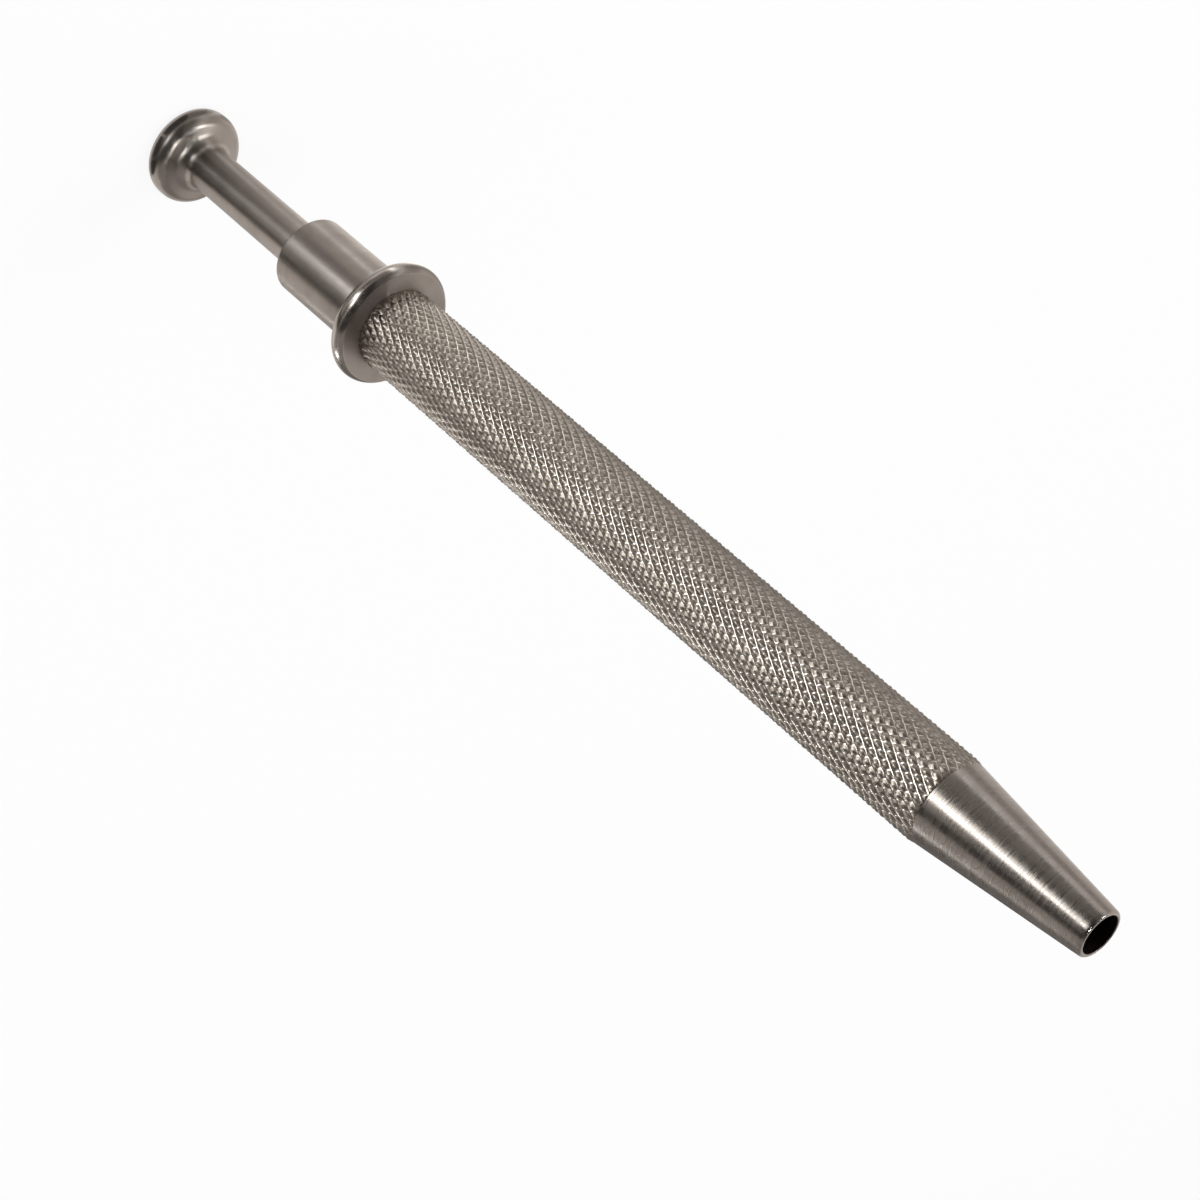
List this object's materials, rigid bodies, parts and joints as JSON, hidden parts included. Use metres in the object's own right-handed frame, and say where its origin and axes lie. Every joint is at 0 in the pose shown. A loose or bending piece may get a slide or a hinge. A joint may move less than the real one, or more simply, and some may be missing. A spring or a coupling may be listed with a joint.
{
  "type": "four-prong pick-up tool",
  "caption": "Slim push-button pick-up tool with a knurled barrel, finger flange and tapered nose; the button drives hooked spring prongs out of the nose.",
  "frame": {"origin": "centre of the flat outer face of the push button, where the tool stands", "axes": "+Z along the tool's axis from the button to the nose's mouth; +X towards prong 1"},
  "size_m": [0.0114, 0.0114, 0.1143],
  "materials": {
    "plunger": "satin turned nickel",
    "collar": "satin turned nickel",
    "barrel": "diamond knurl, satin nickel",
    "nose": "fine turned satin",
    "stop_nut": "turned",
    "guide_bush": "turned",
    "push_rod": "drawn bright",
    "return_spring": "drawn spring wire",
    "prong_carrier": "turned",
    "prong": "drawn spring wire"
  },
  "bodies": {
    "housing": {"barrel": "barrel", "collar": "collar", "nose": "nose", "guide_bush": "guide_bush"},
    "plunger": {"plunger": "plunger", "stop_nut": "stop_nut", "push_rod": "push_rod", "return_spring": "return_spring", "prong_carrier": "prong_carrier"},
    "prong_1": {"prong_1": "prong"},
    "prong_2": {"prong_2": "prong"},
    "prong_3": {"prong_3": "prong"},
    "prong_4": {"prong_4": "prong"}
  },
  "joints": [
    {"name": "plunger_slide", "type": "slide", "parent": "housing", "child": "plunger", "axis": [0, 0, 1], "range_m": [0, 0.013], "stiffness_N_per_m": 310, "springref_m": -0.004, "deforming": ["return_spring"]},
    {"name": "prong_1_spread", "type": "hinge", "parent": "plunger", "child": "prong_1", "pos_m": [0.00138, 0, 0.09954], "axis": [0, 1, 0], "range_deg": [0, 13.4]},
    {"name": "prong_2_spread", "type": "hinge", "parent": "plunger", "child": "prong_2", "pos_m": [0, 0.00138, 0.09954], "axis": [-1, 0, 0], "range_deg": [0, 13.4]},
    {"name": "prong_3_spread", "type": "hinge", "parent": "plunger", "child": "prong_3", "pos_m": [-0.00138, 0, 0.09954], "axis": [0, -1, 0], "range_deg": [0, 13.4]},
    {"name": "prong_4_spread", "type": "hinge", "parent": "plunger", "child": "prong_4", "pos_m": [0, -0.00138, 0.09954], "axis": [1, 0, 0], "range_deg": [0, 13.4]}
  ],
  "couplings": [
    {"joint": "prong_1_spread", "follows": "plunger_slide", "rad_per_m": 17.98},
    {"joint": "prong_2_spread", "follows": "plunger_slide", "rad_per_m": 17.98},
    {"joint": "prong_3_spread", "follows": "plunger_slide", "rad_per_m": 17.98},
    {"joint": "prong_4_spread", "follows": "plunger_slide", "rad_per_m": 17.98}
  ]
}
